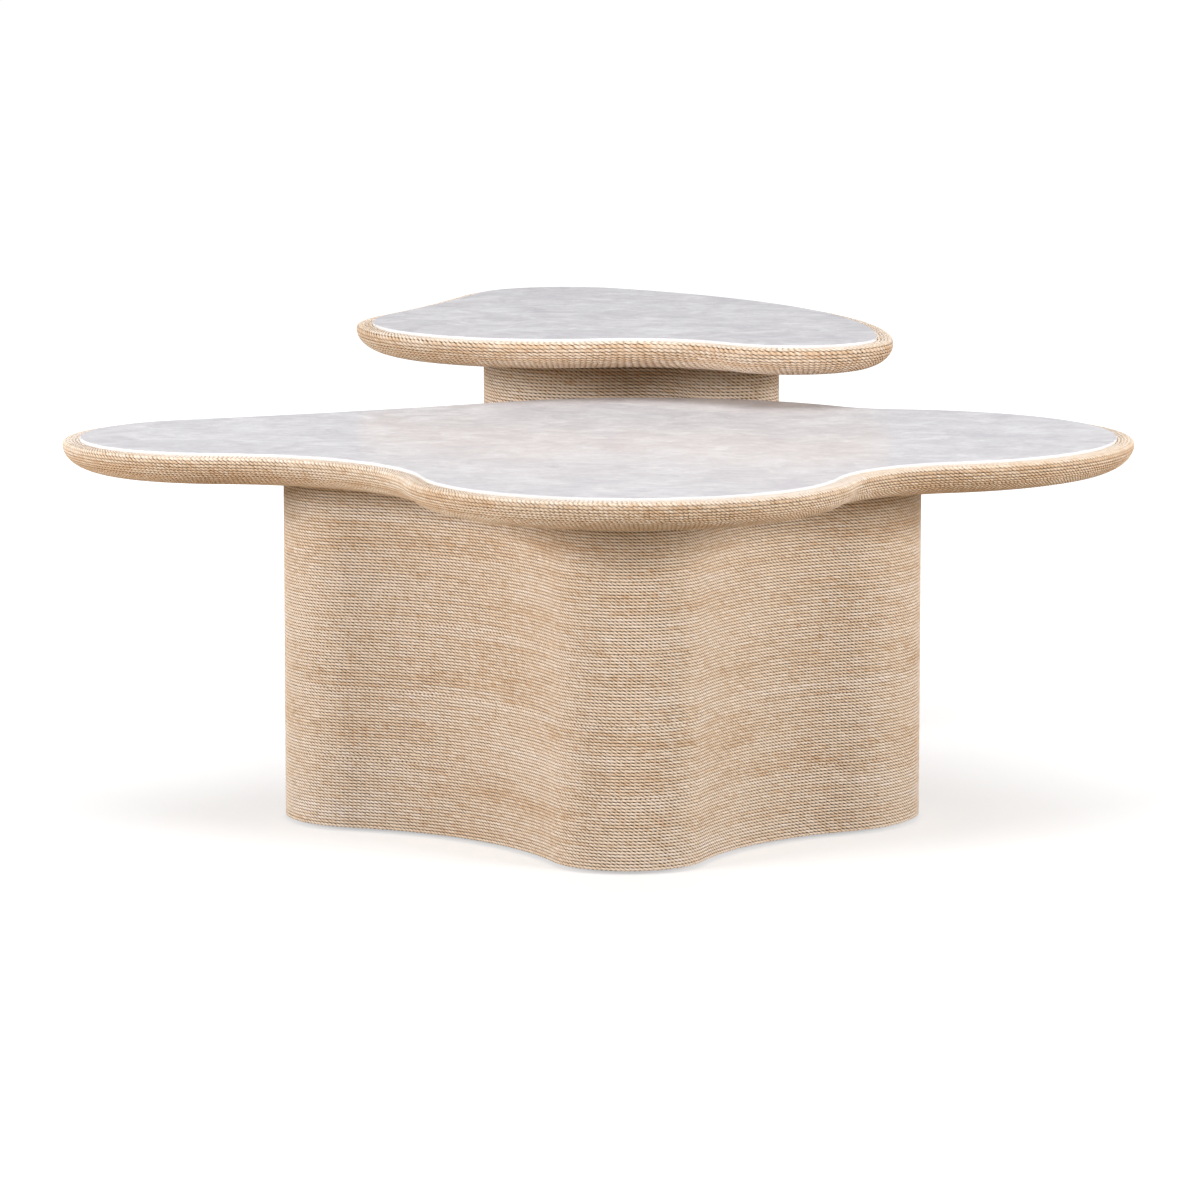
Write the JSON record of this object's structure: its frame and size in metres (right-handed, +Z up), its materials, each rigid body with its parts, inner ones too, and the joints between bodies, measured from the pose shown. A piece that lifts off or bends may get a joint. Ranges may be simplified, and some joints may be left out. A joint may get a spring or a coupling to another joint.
{
  "type": "bunching table set",
  "caption": "Low lobed bunching table and a taller bean-shaped companion that tucks over it; pale stone tops let into cord-wound rims, hollow bases wound with natural cord.",
  "frame": {"origin": "on the floor, at the middle of the pair's bounding box", "axes": "+X to the viewer's right, +Y away from the viewer, from the low table to the taller one, +Z up"},
  "size_m": [1.1402, 1.5414, 0.475],
  "materials": {
    "pale_stone": "polished, cloudy, bright eased edge",
    "natural_cord": "two-ply twisted natural cord, dry and fibrous",
    "core_board": "machined fibreboard, unfinished",
    "bending_plywood": "bending plywood, unfinished",
    "former_plywood": "birch plywood, sawn edges",
    "post_timber": "planed softwood",
    "nylon": "moulded, slightly translucent",
    "brass": "turned",
    "zinc_steel": "bright zinc plate"
  },
  "bodies": {
    "large_table": {"large_base_bottom_ring": "former_plywood", "large_base_middle_ring": "former_plywood", "large_base_posts": "post_timber", "large_base_skin": "bending_plywood", "large_base_top_plate": "former_plywood", "large_base_wrap_1": "natural_cord", "large_base_wrap_2": "natural_cord", "large_base_wrap_3": "natural_cord", "large_base_wrap_4": "natural_cord", "large_base_wrap_5": "natural_cord", "large_bolt_washers": "zinc_steel", "large_frame_screws": "zinc_steel", "large_glides": "nylon", "large_rim_rope": "natural_cord", "large_top_bolts": "zinc_steel", "large_top_core": "core_board", "large_top_inserts": "brass", "large_top_slab": "pale_stone"},
    "small_table": {"small_base_bottom_ring": "former_plywood", "small_base_middle_ring": "former_plywood", "small_base_posts": "post_timber", "small_base_skin": "bending_plywood", "small_base_top_plate": "former_plywood", "small_base_wrap_1": "natural_cord", "small_base_wrap_2": "natural_cord", "small_base_wrap_3": "natural_cord", "small_base_wrap_4": "natural_cord", "small_base_wrap_5": "natural_cord", "small_base_wrap_6": "natural_cord", "small_bolt_washers": "zinc_steel", "small_frame_screws": "zinc_steel", "small_glides": "nylon", "small_rim_rope": "natural_cord", "small_top_bolts": "zinc_steel", "small_top_core": "core_board", "small_top_inserts": "brass", "small_top_slab": "pale_stone"}
  },
  "joints": [
    {"name": "small_table_slide", "type": "slide", "parent": "large_table", "child": "small_table", "axis": [0, 1, 0], "range_m": [-0.035, 0.4]}
  ]
}
